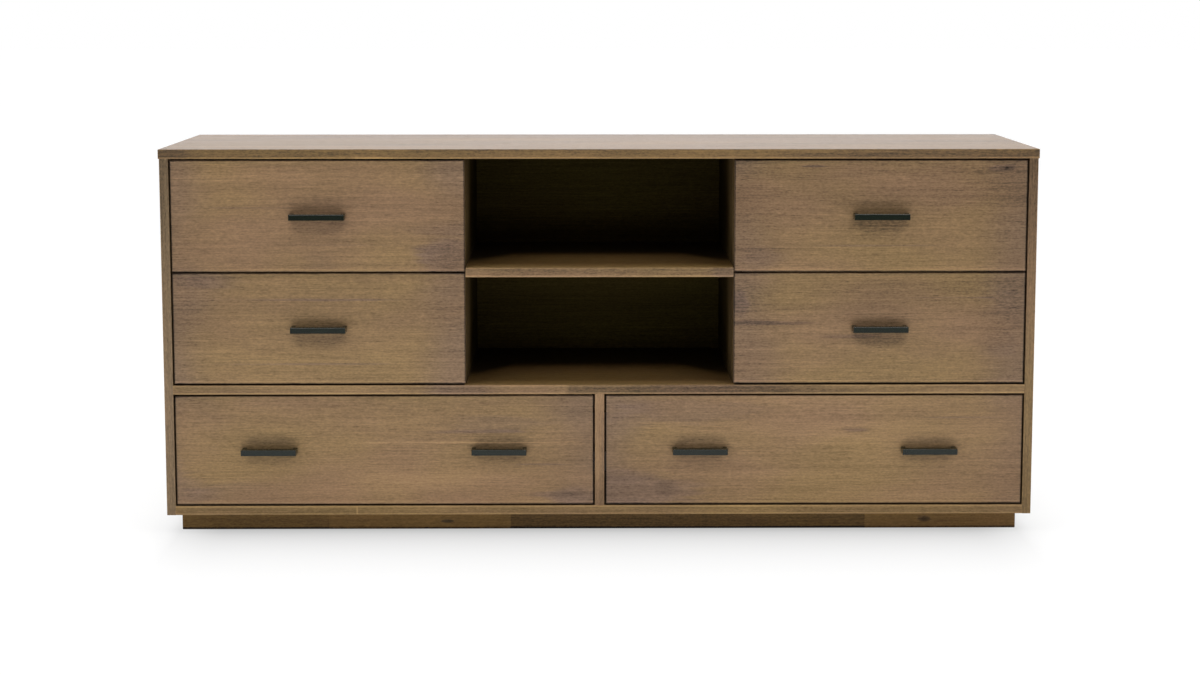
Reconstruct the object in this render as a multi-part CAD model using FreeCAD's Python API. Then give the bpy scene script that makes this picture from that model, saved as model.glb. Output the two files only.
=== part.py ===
# Chest of drawers: a splined wooden case on a recessed plinth, with six drawers on
# telescopic slides round an open niche with a shelf.
# Millimetres, +Z up, the front faces -Y. The origin is on the floor, under the middle of
# the whole chest with its pulls. Left and right are as seen from the front.

import FreeCAD, Part
import math
import os

V = FreeCAD.Vector

# Overall sizes
WIDTH = 1829.0  # over the top panel
DEPTH = 457.0  # over the top panel, pulls not counted
HEIGHT = 812.0  # floor to the top surface

# Case boards
TOP_THICKNESS = 20.0
SIDE_THICKNESS = 19.0
DECK_THICKNESS = 20.0  # bottom panel and middle deck
UPRIGHT_THICKNESS = 20.0  # partitions beside the niche and divider between the wide drawers
SHELF_THICKNESS = 20.0
TOP_OVERHANG = 1.5  # past the side panels and past the case front
LOWER_OPENING = 238.0  # clear height for the wide drawers
NICHE_WIDTH = 559.0  # clear width of the open niche
EASE = 1.5  # radius of the eased front edges of the case

# Back panel
BACK_THICKNESS = 6.0
BACK_RABBET = 9.0  # how far the rabbet reaches into each side panel
BACK_PLAY = 0.5  # room at each end of the panel in its rabbet

# Plinth
PLINTH_HEIGHT = 38.0
PLINTH_RECESS = 27.0  # behind the case on all four sides
PLINTH_THICKNESS = 20.0
PLINTH_EASE = 2.0  # radius of the lower outer edges
PLINTH_BLOCK = 60.0  # leg of the triangular glue blocks
PLINTH_BLOCK_LIFT = 8.0  # glue blocks and cross rail stay this far off the floor

# Splines: loose tongues glued into grooves in both boards of a joint
SPLINE_THICKNESS = 6.0
SPLINE_WIDTH = 18.0  # half in each board
SPLINE_STOP = 40.0  # from the board's front and back edges
SPLINE_PLAY = 0.1  # glue line on each face
SPLINE_END_PLAY = 1.0  # glue room at the edges and ends

# Drawer fronts
FRONT_THICKNESS = 20.0
FRONT_EASE = 0.6  # radius of the front edges
REVEAL = 3.5  # gap round an inset front
NICHE_STEP = 2.0  # fronts stop this far short of the niche's side faces
FRONT_STANDOFF = 1.5  # closed fronts to the partitions behind them

# Drawer boxes
BOX_THICKNESS = 12.0
BOX_BELOW = 25.0  # lower edge of the front to the lower edge of the box
BOX_ABOVE = 38.0  # upper edge of the box to the upper edge of the front
REAR_CLEARANCE = 28.0  # box to back panel
BOTTOM_THICKNESS = 6.0
BOTTOM_RAISE = 10.0  # lower edge of the box to the bottom
GROOVE_DEPTH = 5.0
GROOVE_PLAY = 0.2
TAIL_PITCH = 42.0  # about one dovetail for each of these
TAIL_SLOPE = 1.0 / 6.0
PIN_WIDTH = 10.0  # narrow end of a pin

# Telescopic slides
SLIDE_HEIGHT = 45.0
SLIDE_THICKNESS = 12.7  # panel to drawer box
SLIDE_STEEL = 1.2
SLIDE_BEND = 2.0  # outer bend radius
SLIDE_PLAY = 0.3  # between the nested flanges
SLIDE_STEP = 0.8  # between the nested webs
SLIDE_RAISE = 60.0  # lower edge of the box to the middle of the slide

# Pulls
PULL_LENGTH = 115.0
PULL_HEIGHT = 12.0
PULL_BAR = 14.0  # front to back
PULL_LEG = 8.5
PULL_PROJECTION = 28.0
PULL_CORNER = 1.2
PULL_EASE = 0.5
PULL_OFFSET = 241.0  # middle of a wide front to the middle of each of its pulls

NEAR = 1e-6

# Places along Y
TOTAL_DEPTH = DEPTH + PULL_PROJECTION - TOP_OVERHANG
REAR = TOTAL_DEPTH / 2
TOP_FRONT = REAR - DEPTH
CASE_FRONT = TOP_FRONT + TOP_OVERHANG
FRONT_BACK = CASE_FRONT + FRONT_THICKNESS
UPRIGHT_FRONT = FRONT_BACK + FRONT_STANDOFF
PANEL_FRONT = REAR - BACK_THICKNESS
BOX_REAR = PANEL_FRONT - REAR_CLEARANCE
SLIDE_LENGTH = BOX_REAR - UPRIGHT_FRONT

# Places along X
SIDE_OUTER = WIDTH / 2 - TOP_OVERHANG
SIDE_INNER = SIDE_OUTER - SIDE_THICKNESS
NICHE_SIDE = NICHE_WIDTH / 2
PARTITION_OUTER = NICHE_SIDE + UPRIGHT_THICKNESS
DIVIDER_SIDE = UPRIGHT_THICKNESS / 2

# Places along Z
BOTTOM_TOP = PLINTH_HEIGHT + DECK_THICKNESS
DECK_UNDER = BOTTOM_TOP + LOWER_OPENING
DECK_TOP = DECK_UNDER + DECK_THICKNESS
TOP_UNDER = HEIGHT - TOP_THICKNESS
NICHE_MIDDLE = (DECK_TOP + TOP_UNDER) / 2


# Helpers


def block(x0, x1, y0, y1, z0, z1):
    return Part.makeBox(x1 - x0, y1 - y0, z1 - z0, V(x0, y0, z0))


def prism(points, along):
    """A polygon pushed along a vector."""
    return Part.Face(Part.makePolygon([*points, points[0]])).extrude(along)


def rounded_prism(corners, along):
    """A polygon pushed along a vector. Each corner is (point, radius), and radius 0 is sharp."""
    count = len(corners)
    ends = []
    edges = []
    for i, (point, radius) in enumerate(corners):
        to_last = (corners[i - 1][0] - point).normalize()
        to_next = (corners[(i + 1) % count][0] - point).normalize()
        if radius == 0:
            ends.append((point, point))
            continue
        half_angle = to_last.getAngle(to_next) / 2
        reach = radius / math.tan(half_angle)
        inward = (to_last + to_next).normalize()
        middle = point + inward * (radius / math.sin(half_angle) - radius)
        ends.append((point + to_last * reach, point + to_next * reach))
        edges.append(Part.Arc(ends[-1][0], middle, ends[-1][1]).toShape())
    for i in range(count):
        edges.append(Part.LineSegment(ends[i][1], ends[(i + 1) % count][0]).toShape())
    wire = Part.Wire(Part.__sortEdges__(edges))
    return Part.Face(wire).extrude(along)


def eased(shape, wanted, radius=EASE):
    """Rounds every edge whose start and end pass the test."""
    edges = [e for e in shape.Edges if wanted(*(v.Point for v in e.Vertexes))]
    return shape.makeFillet(radius, edges)


def in_front(start, end):
    """True for an edge that lies in the case's front plane."""
    return abs(start.y - CASE_FRONT) < NEAR and abs(end.y - CASE_FRONT) < NEAR


def eased_front(shape, axis):
    """Rounds the front edges that run along the axis."""
    return eased(
        shape,
        lambda start, end: in_front(start, end)
        and abs((end - start).normalize().dot(axis)) > 1 - NEAR,
    )


def mirrored(shape, x=0.0):
    """The same shape across a plane of constant X."""
    return shape.mirror(V(x, 0, 0), V(1, 0, 0))


X_AXIS = V(1, 0, 0)
Z_AXIS = V(0, 0, 1)


# Splines


def joint_places():
    """Yields (x, z, axis across the joint, front, back) of every butt joint in the case."""
    side_middle = SIDE_OUTER - SIDE_THICKNESS / 2
    partition_middle = NICHE_SIDE + UPRIGHT_THICKNESS / 2
    deck_middle = DECK_TOP - DECK_THICKNESS / 2
    bottom_middle = BOTTOM_TOP - DECK_THICKNESS / 2
    yield 0.0, DECK_UNDER, Z_AXIS, CASE_FRONT, PANEL_FRONT
    yield 0.0, BOTTOM_TOP, Z_AXIS, CASE_FRONT, PANEL_FRONT
    for side in (-1, 1):
        yield side * side_middle, TOP_UNDER, Z_AXIS, CASE_FRONT, PANEL_FRONT
        yield side * SIDE_INNER, deck_middle, X_AXIS, CASE_FRONT, PANEL_FRONT
        yield side * SIDE_INNER, bottom_middle, X_AXIS, CASE_FRONT, PANEL_FRONT
        yield side * partition_middle, TOP_UNDER, Z_AXIS, UPRIGHT_FRONT, PANEL_FRONT
        yield side * partition_middle, DECK_TOP, Z_AXIS, UPRIGHT_FRONT, PANEL_FRONT
        yield side * NICHE_SIDE, NICHE_MIDDLE, X_AXIS, UPRIGHT_FRONT, PANEL_FRONT


def spline(place, play=0.0, end_play=0.0):
    """A flat tongue across a joint. With play, it is the pair of grooves that the tongue fits."""
    x, z, axis, front, back = place
    across = SPLINE_WIDTH / 2 + end_play
    thick = SPLINE_THICKNESS / 2 + play
    half_x, half_z = (across, thick) if axis == X_AXIS else (thick, across)
    y0 = front + SPLINE_STOP - end_play
    y1 = back - SPLINE_STOP + end_play
    return block(x - half_x, x + half_x, y0, y1, z - half_z, z + half_z)


SPLINES = [spline(place) for place in joint_places()]
GROOVES = [spline(place, SPLINE_PLAY, SPLINE_END_PLAY) for place in joint_places()]


def grooved(board):
    """The board with the grooves of every spline that reaches into it."""
    return board.cut([g for g in GROOVES if board.BoundBox.intersect(g.BoundBox)])


# Case


def top_panel():
    half = WIDTH / 2
    board = block(-half, half, TOP_FRONT, REAR, TOP_UNDER, HEIGHT)

    def on_show(start, end):
        level = abs(start.z - end.z) < NEAR
        at_front = max(abs(p.y - TOP_FRONT) for p in (start, end)) < NEAR
        at_side = abs(start.x - end.x) < NEAR
        return level and (at_front or at_side)

    return grooved(eased(board, on_show))


def left_side_panel():
    board = block(-SIDE_OUTER, -SIDE_INNER, CASE_FRONT, REAR, PLINTH_HEIGHT, TOP_UNDER)
    board = eased_front(board, Z_AXIS)
    rabbet_side = SIDE_INNER + BACK_RABBET
    rabbet = block(-rabbet_side, -SIDE_INNER, PANEL_FRONT, REAR, PLINTH_HEIGHT, TOP_UNDER)
    return grooved(board.cut(rabbet))


def cross_board(z0, z1):
    """A full-width board between the side panels."""
    board = block(-SIDE_INNER, SIDE_INNER, CASE_FRONT, PANEL_FRONT, z0, z1)
    return grooved(eased_front(board, X_AXIS))


def left_partition():
    return grooved(
        block(-PARTITION_OUTER, -NICHE_SIDE, UPRIGHT_FRONT, PANEL_FRONT, DECK_TOP, TOP_UNDER)
    )


def lower_divider():
    board = block(
        -DIVIDER_SIDE, DIVIDER_SIDE, CASE_FRONT, PANEL_FRONT, BOTTOM_TOP, DECK_UNDER
    )
    return grooved(eased_front(board, Z_AXIS))


def niche_shelf():
    half = SHELF_THICKNESS / 2
    board = block(
        -NICHE_SIDE, NICHE_SIDE, CASE_FRONT, PANEL_FRONT, NICHE_MIDDLE - half, NICHE_MIDDLE + half
    )
    return grooved(eased_front(board, X_AXIS))


def back_panel():
    half = SIDE_INNER + BACK_RABBET - BACK_PLAY
    return block(-half, half, PANEL_FRONT, REAR, PLINTH_HEIGHT, TOP_UNDER)


# Plinth: four mitred boards, a cross rail and glue blocks

PLINTH_SIDE = SIDE_OUTER - PLINTH_RECESS
PLINTH_FRONT = CASE_FRONT + PLINTH_RECESS
PLINTH_REAR = REAR - PLINTH_RECESS


def plinth_board(start, end, inward):
    """A board from one outer corner to the next, mitred at both ends and eased at its foot."""
    run = (end - start).normalize() * PLINTH_THICKNESS
    across = inward * PLINTH_THICKNESS
    outline = [start, end, end - run + across, start + run + across]
    board = prism(outline, Z_AXIS * PLINTH_HEIGHT)

    def outer_foot(*points):
        return all(p.z < NEAR and (p - start).dot(inward) < NEAR for p in points)

    return eased(board, outer_foot, PLINTH_EASE)


def plinth_boards():
    corners = [
        V(-PLINTH_SIDE, PLINTH_FRONT, 0),
        V(PLINTH_SIDE, PLINTH_FRONT, 0),
        V(PLINTH_SIDE, PLINTH_REAR, 0),
        V(-PLINTH_SIDE, PLINTH_REAR, 0),
    ]
    names = ["plinth_front", "plinth_right", "plinth_rear", "plinth_left"]
    inward = [V(0, 1, 0), V(-1, 0, 0), V(0, -1, 0), V(1, 0, 0)]
    return {
        name: plinth_board(corners[i], corners[(i + 1) % 4], inward[i])
        for i, name in enumerate(names)
    }


def plinth_cross_rail():
    half = PLINTH_THICKNESS / 2
    front = PLINTH_FRONT + PLINTH_THICKNESS
    rear = PLINTH_REAR - PLINTH_THICKNESS
    return block(-half, half, front, rear, PLINTH_BLOCK_LIFT, PLINTH_HEIGHT)


def plinth_corner_blocks():
    x = PLINTH_SIDE - PLINTH_THICKNESS
    blocks = []
    for y, turn in ((PLINTH_FRONT + PLINTH_THICKNESS, 1), (PLINTH_REAR - PLINTH_THICKNESS, -1)):
        for side in (-1, 1):
            corner = V(side * x, y, PLINTH_BLOCK_LIFT)
            along_x = corner - V(side * PLINTH_BLOCK, 0, 0)
            along_y = corner + V(0, turn * PLINTH_BLOCK, 0)
            height = PLINTH_HEIGHT - PLINTH_BLOCK_LIFT
            blocks.append(prism([corner, along_x, along_y], Z_AXIS * height))
    return Part.makeCompound(blocks)


# Slides: three nested channels, drawn for the left wall of an opening. U runs from the
# wall towards the drawer box, and the channels open towards each other.


def channel(web, tip, half_height):
    """A bent channel whose web has its outer face at web and whose flanges end at tip."""
    facing = 1 if tip > web else -1
    inside = web + facing * SLIDE_STEEL
    h = half_height
    inner = h - SLIDE_STEEL
    outline = [
        (web, -h, SLIDE_BEND),
        (tip, -h, 0),
        (tip, -inner, 0),
        (inside, -inner, 0),
        (inside, inner, 0),
        (tip, inner, 0),
        (tip, h, 0),
        (web, h, SLIDE_BEND),
    ]
    corners = [(V(u, 0, v), radius) for u, v, radius in outline]
    return rounded_prism(corners, V(0, SLIDE_LENGTH, 0))


MIDDLE_WEB = SLIDE_STEEL + SLIDE_STEP
BOX_WEB = SLIDE_THICKNESS - SLIDE_STEEL
NEST = SLIDE_STEEL + SLIDE_PLAY
SLIDE_CABINET = channel(0, BOX_WEB - 2 * SLIDE_STEP, SLIDE_HEIGHT / 2)
SLIDE_MIDDLE = channel(MIDDLE_WEB, BOX_WEB - SLIDE_STEP, SLIDE_HEIGHT / 2 - NEST)
SLIDE_INNER = channel(
    SLIDE_THICKNESS,
    MIDDLE_WEB + SLIDE_STEEL + 2 * SLIDE_STEP,
    SLIDE_HEIGHT / 2 - 2 * NEST,
)


def slide_pair(member, drawer):
    """The member on both walls of a drawer's opening."""
    z = drawer["box"][2] + SLIDE_RAISE
    left, right = drawer["opening"]
    on_left = member.translated(V(left, UPRIGHT_FRONT, z))
    on_right = mirrored(member).translated(V(right, UPRIGHT_FRONT, z))
    return [on_left, on_right]


# Drawers


def drawer(name, opening, front_x, front_z, pull_places):
    """Sizes of one drawer: its opening, front, box (x0, x1, z0, z1) and pull centres."""
    box = (
        opening[0] + SLIDE_THICKNESS,
        opening[1] - SLIDE_THICKNESS,
        front_z[0] + BOX_BELOW,
        front_z[1] - BOX_ABOVE,
    )
    return {
        "name": name,
        "opening": opening,
        "front": (*front_x, *front_z),
        "box": box,
        "pulls": pull_places,
    }


def all_drawers():
    upper_height = (TOP_UNDER - DECK_TOP - 3 * REVEAL) / 2
    middle_z = (DECK_TOP + REVEAL, DECK_TOP + REVEAL + upper_height)
    upper_z = (TOP_UNDER - REVEAL - upper_height, TOP_UNDER - REVEAL)
    lower_z = (BOTTOM_TOP + REVEAL, DECK_UNDER - REVEAL)
    small = (SIDE_INNER, PARTITION_OUTER, NICHE_SIDE + NICHE_STEP)
    wide = (SIDE_INNER, DIVIDER_SIDE, DIVIDER_SIDE + REVEAL)
    rows = [
        ("upper", upper_z, small, (0.0,)),
        ("middle", middle_z, small, (0.0,)),
        ("lower", lower_z, wide, (-PULL_OFFSET, PULL_OFFSET)),
    ]
    drawers = []
    for row, front_z, (outer, inner, front_inner), pulls in rows:
        for side, sign in (("left", -1), ("right", 1)):
            opening = tuple(sorted((sign * outer, sign * inner)))
            front_x = tuple(sorted((sign * (outer - REVEAL), sign * front_inner)))
            middle = sum(front_x) / 2
            places = [middle + offset for offset in pulls]
            drawers.append(drawer(f"{row}_{side}_drawer", opening, front_x, front_z, places))
    return drawers


def drawer_front(d):
    x0, x1, z0, z1 = d["front"]
    board = block(x0, x1, CASE_FRONT, FRONT_BACK, z0, z1)
    return eased(board, in_front, FRONT_EASE)


def tail_heights(z0, z1):
    """Middle and half-width at the end and at the shoulder of each dovetail up a box side."""
    count = max(2, round((z1 - z0) / TAIL_PITCH))
    pitch = (z1 - z0) / count
    at_end = (pitch - PIN_WIDTH) / 2
    at_shoulder = at_end - BOX_THICKNESS * TAIL_SLOPE
    return [(z0 + (i + 0.5) * pitch, at_end, at_shoulder) for i in range(count)]


def box_side(x, z0, z1):
    """A box side with dovetails at both ends, its left face at x."""
    tails = tail_heights(z0, z1)
    front_shoulder = FRONT_BACK + BOX_THICKNESS
    rear_shoulder = BOX_REAR - BOX_THICKNESS
    outline = [(front_shoulder, z0)]
    for middle, end, shoulder in tails:
        outline += [
            (front_shoulder, middle - shoulder),
            (FRONT_BACK, middle - end),
            (FRONT_BACK, middle + end),
            (front_shoulder, middle + shoulder),
        ]
    outline += [(front_shoulder, z1), (rear_shoulder, z1)]
    for middle, end, shoulder in reversed(tails):
        outline += [
            (rear_shoulder, middle + shoulder),
            (BOX_REAR, middle + end),
            (BOX_REAR, middle - end),
            (rear_shoulder, middle - shoulder),
        ]
    outline.append((rear_shoulder, z0))
    return prism([V(x, y, z) for y, z in outline], V(BOX_THICKNESS, 0, 0))


def drawer_box(d):
    """Sides with tails, ends with the matching pins, and a bottom let into all four."""
    x0, x1, z0, z1 = d["box"]
    sides = [box_side(x0, z0, z1), box_side(x1 - BOX_THICKNESS, z0, z1)]
    ends = [
        block(x0, x1, FRONT_BACK, FRONT_BACK + BOX_THICKNESS, z0, z1),
        block(x0, x1, BOX_REAR - BOX_THICKNESS, BOX_REAR, z0, z1),
    ]
    ends = [end.cut(sides) for end in ends]
    inset = BOX_THICKNESS - GROOVE_DEPTH
    floor = z0 + BOTTOM_RAISE

    def panel(grow):
        return block(
            x0 + inset - grow,
            x1 - inset + grow,
            FRONT_BACK + inset - grow,
            BOX_REAR - inset + grow,
            floor,
            floor + BOTTOM_THICKNESS + grow,
        )

    groove = panel(GROOVE_PLAY)
    return {
        "box_sides": Part.makeCompound([side.cut(groove) for side in sides]),
        "box_ends": Part.makeCompound([end.cut(groove) for end in ends]),
        "bottom": panel(0.0),
    }


def pull(x, z):
    """A square-cornered bar on two legs, in one piece, centred on x and z."""
    front = CASE_FRONT - PULL_PROJECTION
    low = z - PULL_HEIGHT / 2
    half = PULL_LENGTH / 2
    gap = half - PULL_LEG
    outline = [
        (-half, CASE_FRONT, 0),
        (-half, front, PULL_CORNER),
        (half, front, PULL_CORNER),
        (half, CASE_FRONT, 0),
        (gap, CASE_FRONT, 0),
        (gap, front + PULL_BAR, PULL_CORNER),
        (-gap, front + PULL_BAR, PULL_CORNER),
        (-gap, CASE_FRONT, 0),
    ]
    corners = [(V(x + u, y, low), radius) for u, y, radius in outline]
    bar = rounded_prism(corners, Z_AXIS * PULL_HEIGHT)

    def on_rim(edge):
        box = edge.BoundBox
        level = box.ZLength < NEAR
        at_front = box.YMin < front + NEAR
        at_end = box.XLength < NEAR and abs(abs(box.XMin - x) - half) < NEAR
        return level and (at_front or at_end)

    return bar.makeChamfer(PULL_EASE, [edge for edge in bar.Edges if on_rim(edge)])


def drawer_pulls(d):
    _, _, z0, z1 = d["front"]
    return Part.makeCompound([pull(x, (z0 + z1) / 2) for x in d["pulls"]])


# Assembly


def pieces():
    """Every node by name."""
    left_side = left_side_panel()
    partition = left_partition()
    drawers = all_drawers()
    found = {
        "top_panel": top_panel(),
        "left_side_panel": left_side,
        "right_side_panel": mirrored(left_side),
        "bottom_panel": cross_board(PLINTH_HEIGHT, BOTTOM_TOP),
        "middle_deck": cross_board(DECK_UNDER, DECK_TOP),
        "left_partition": partition,
        "right_partition": mirrored(partition),
        "lower_divider": lower_divider(),
        "niche_shelf": niche_shelf(),
        "back_panel": back_panel(),
        **plinth_boards(),
        "plinth_cross_rail": plinth_cross_rail(),
        "plinth_corner_blocks": plinth_corner_blocks(),
        "case_splines": Part.makeCompound(SPLINES),
        "slide_cabinet_members": Part.makeCompound(
            [member for d in drawers for member in slide_pair(SLIDE_CABINET, d)]
        ),
    }
    for d in drawers:
        name = d["name"]
        found[f"{name}_front"] = drawer_front(d)
        for part, shape in drawer_box(d).items():
            found[f"{name}_{part}"] = shape
        found[f"{name}_pulls" if len(d["pulls"]) > 1 else f"{name}_pull"] = drawer_pulls(d)
        found[f"{name}_slide_inner"] = Part.makeCompound(slide_pair(SLIDE_INNER, d))
        found[f"{name}_slide_middle"] = Part.makeCompound(slide_pair(SLIDE_MIDDLE, d))
    return found


os.makedirs("parts", exist_ok=True)
for node, solid in pieces().items():
    solid.exportStep(os.path.join("parts", f"{node}.step"))
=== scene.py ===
import math
from collections import namedtuple

import bmesh
import bpy
from mathutils import Matrix, Vector


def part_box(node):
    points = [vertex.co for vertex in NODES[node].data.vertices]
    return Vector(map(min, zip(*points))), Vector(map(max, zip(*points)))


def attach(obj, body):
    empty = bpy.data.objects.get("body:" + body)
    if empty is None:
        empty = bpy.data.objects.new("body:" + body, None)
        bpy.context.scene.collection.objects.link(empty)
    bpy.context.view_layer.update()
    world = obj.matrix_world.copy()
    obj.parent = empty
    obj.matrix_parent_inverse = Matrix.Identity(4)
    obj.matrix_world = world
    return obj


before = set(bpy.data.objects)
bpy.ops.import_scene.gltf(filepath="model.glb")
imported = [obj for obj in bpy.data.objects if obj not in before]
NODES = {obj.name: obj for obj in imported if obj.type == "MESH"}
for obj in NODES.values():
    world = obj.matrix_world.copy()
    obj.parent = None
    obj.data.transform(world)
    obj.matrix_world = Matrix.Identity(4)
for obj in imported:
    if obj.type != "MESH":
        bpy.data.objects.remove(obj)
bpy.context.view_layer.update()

ROWS = ("upper", "middle", "lower")
SIDES = ("left", "right")
DRAWERS = [f"{row}_{side}_drawer" for row in ROWS for side in SIDES]
AXES = "XYZ"

# Sizes that the CAD pieces have
PULL_LENGTH = 0.115
PULL_LEG = 0.0085  # width of a pull's leg
BOX_BOARD = 0.012  # thickness of a drawer's sub-front
NICHE_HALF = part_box("right_partition")[0].x  # half the width of the niche

# Slides: black in front of the nose's end, as painted shade where the slides show in the gaps
NOSE_LENGTH = 0.012
NOSE_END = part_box("slide_cabinet_members")[0].y + NOSE_LENGTH
NOSE_FADE = 0.001

# Camera, fitted to the edges of the chest in a frame of 1200 by 675
CAMERA_PLACE = (-0.0354, -4.361, 1.121)
CAMERA_PITCH = math.radians(6.215)  # downwards
CAMERA_TURN = math.radians(0.501)  # to the right
CAMERA_LENS = 60.15  # millimetres
CAMERA_SENSOR = 36.0  # millimetres across
CAMERA_SHIFT = -0.10  # the photograph has the chest above the middle of its frame

# Floor: plain where it lights the chest. To the camera it is nearly white, with a painted shadow close to
# the plinth
FLOOR_HALF = 40.0
FLOOR_PLAIN = (0.85, 0.85, 0.85, 1)
FLOOR_SHADOWED = (0.1, 0.1, 0.1, 1)  # takes the shadows that show on the white
FLOOR_LIFT = 0.945
FLOOR_WHITENS = (0.2, 1.4)  # from the lift to white, by the distance from the plinth
FLOOR_MIRRORED = (1.5, 3.5)  # no longer white in reflections, by the same distance
SHADE_DEPTH = 0.445  # of the shade right at the plinth
SHADE_REACH = 0.152  # in front of the plinth and behind it
SHADE_SIDEWAYS = 3  # how many times shorter its reach is to the sides
SHADE_WEAKENS = (-0.10, 0.05)  # about the plinth's ends
SHADE_LEAST = 0.45

# Surround: a dim light, and white where it shows
WORLD_LIGHT = 0.06
WORLD_BEHIND = (-0.1, 0.3)  # white in reflections of what lies this way along Y

# Faces: the shares of its normal along an axis at which a face begins to look that way and fully does
FACE_RANGE = (0.6, 0.8)


def colour(red, green, blue):
    """A colour seen on a screen, 0 to 255, as the linear values that shaders take."""
    seen = [channel / 255 for channel in (red, green, blue)]
    linear = [c / 12.92 if c <= 0.04045 else ((c + 0.055) / 1.055) ** 2.4 for c in seen]
    return (*linear, 1.0)


class Graph:
    """Adds nodes to one node tree. An input is a number, a colour, a vector or another node's output."""

    def __init__(self, tree):
        self.tree = tree
        tree.nodes.clear()

    def node(self, kind, inputs=None, **settings):
        made = self.tree.nodes.new(kind if kind.startswith("NodeGroup") else "ShaderNode" + kind)
        for name, value in settings.items():
            setattr(made, name, value)
        self.feed(made, inputs or {})
        return made

    def feed(self, node, inputs):
        for key, value in inputs.items():
            if isinstance(value, bpy.types.NodeSocket):
                self.tree.links.new(value, node.inputs[key])
            else:
                node.inputs[key].default_value = value

    def math(self, operation, *values):
        return self.node("Math", dict(enumerate(values)), operation=operation).outputs[0]

    def total(self, *values):
        result = values[0]
        for value in values[1:]:
            result = self.math("ADD", result, value)
        return result

    def times(self, value, factor):
        return self.math("MULTIPLY", value, factor)

    def rest(self, share):
        """What a share leaves of 1."""
        return self.math("SUBTRACT", 1.0, share)

    def swing(self, value, reach):
        """A 0 to 1 value turned into one that swings about 0, reaching half of reach to each side."""
        return self.math("MULTIPLY_ADD", value, reach, -reach / 2)

    def vector(self, operation, *values):
        made = self.node("VectorMath", dict(enumerate(values)), operation=operation)
        return made.outputs["Value" if operation in ("LENGTH", "DOT_PRODUCT") else "Vector"]

    def scaled(self, vector, factor):
        return self.node("VectorMath", {0: vector, "Scale": factor}, operation="SCALE").outputs["Vector"]

    def parts(self, vector):
        return self.node("SeparateXYZ", {0: vector}).outputs

    def joined(self, x, y, z):
        return self.node("CombineXYZ", {0: x, 1: y, 2: z}).outputs[0]

    def ramp(self, value, low, high, start=0.0, end=1.0):
        """start up to low, end from high on, and a smooth step between them."""
        inputs = {0: value, 1: low, 2: high, 3: start, 4: end}
        return self.node("MapRange", inputs, interpolation_type="SMOOTHSTEP").outputs[0]

    def noise(self, where, cells, detail=2.0, roughness=0.5, output=0):
        """Smooth noise about 0.5, with so many cells to the metre along each axis."""
        inputs = {"Vector": self.vector("MULTIPLY", where, cells), "Scale": 1.0}
        inputs.update({"Detail": detail, "Roughness": roughness})
        return self.node("TexNoise", inputs).outputs[output]

    def layer(self, where, layer, output=0):
        cells = (layer.along, layer.across, layer.across)
        return self.noise(where, cells, layer.detail, layer.roughness, output)

    def mix(self, factor, first, second):
        """A mix of two colours, which are sockets 6 and 7 of the node, and output 2."""
        return self.node("Mix", {0: factor, 6: first, 7: second}, data_type="RGBA").outputs[2]

    def bump(self, strength, distance, height):
        return self.node("Bump", {"Strength": strength, "Distance": distance, "Height": height}).outputs[0]


def new_material(name):
    """A material with an empty graph, its Principled shader, and the graph to build on."""
    material = bpy.data.materials.new(name)
    material.use_nodes = True
    graph = Graph(material.node_tree)
    shader = graph.node("BsdfPrincipled")
    output = graph.node("OutputMaterial", {"Surface": shader.outputs[0]})
    output.is_active_output = True
    return material, graph, shader


def dress(node, material):
    """Gives a CAD node one material."""
    slots = NODES[node].data.materials
    slots.clear()
    slots.append(material)


# Wood figure, shared by every board. A layer is noise with so many cells to the metre along and across the
# fibres, and a swing is how far the wood's light goes between the layer's extremes
Layer = namedtuple("Layer", "along across detail roughness", defaults=(0.5,))
LAYERS = {
    "clouds": Layer(2.6, 7, 2.0),
    "sweeps": Layer(0.7, 9, 1.0),
    "bands": Layer(0.9, 40, 3.0, 0.6),
    "lines": Layer(5, 300, 3.0, 0.7),
    "flecks": Layer(170, 340, 1.0),
    "fibres": Layer(60, 560, 2.0, 0.75),
    "pores": Layer(40, 640, 1.0),
    "streaks": Layer(1.0, 60, 2.0),
    "rings": Layer(3, 160, 2.0),
}
WANDER = Layer(1.2, 4, 1.0)
WANDER_REACH = (0, 0.014, 0.014)  # how far the fibres wander to the side
SIDE_LIGHT = 1.0
SIDE_SWINGS = {"clouds": 0.18, "sweeps": 0.32, "bands": 0.30, "lines": 0.90, "flecks": 0.66, "fibres": 0.8}
END_LIGHT = 0.66  # end grain is darker
END_SWINGS = {"rings": 0.5, "fibres": 0.3}
LEAST_LIGHT = 0.05
PORE_RANGE = (0.58, 0.72)  # noise at which pores begin and are full
PORE_SHADE = -0.18
PORE_DEPTH = -0.7  # beside the height of the fibres
STREAK_RANGE = (0.66, 0.78)  # noise at which streaks begin and are full
STREAK_SHADE = -0.12
BLUSH_RANGE = (0.3, 0.75)  # clouds in which the ground colour drifts to the blush
ROUGH_MEAN = 0.50
ROUGH_SWING = -0.20
ROUGH_MORE = 0.15  # in pores and on end grain
FIGURE_INPUTS = {"Grain": "Vector", "Ground": "Color", "Blush": "Color", "End": "Float", "Shade": "Float"}
FIGURE_OUTPUTS = {"Color": "Color", "Roughness": "Float", "Height": "Float"}


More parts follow.
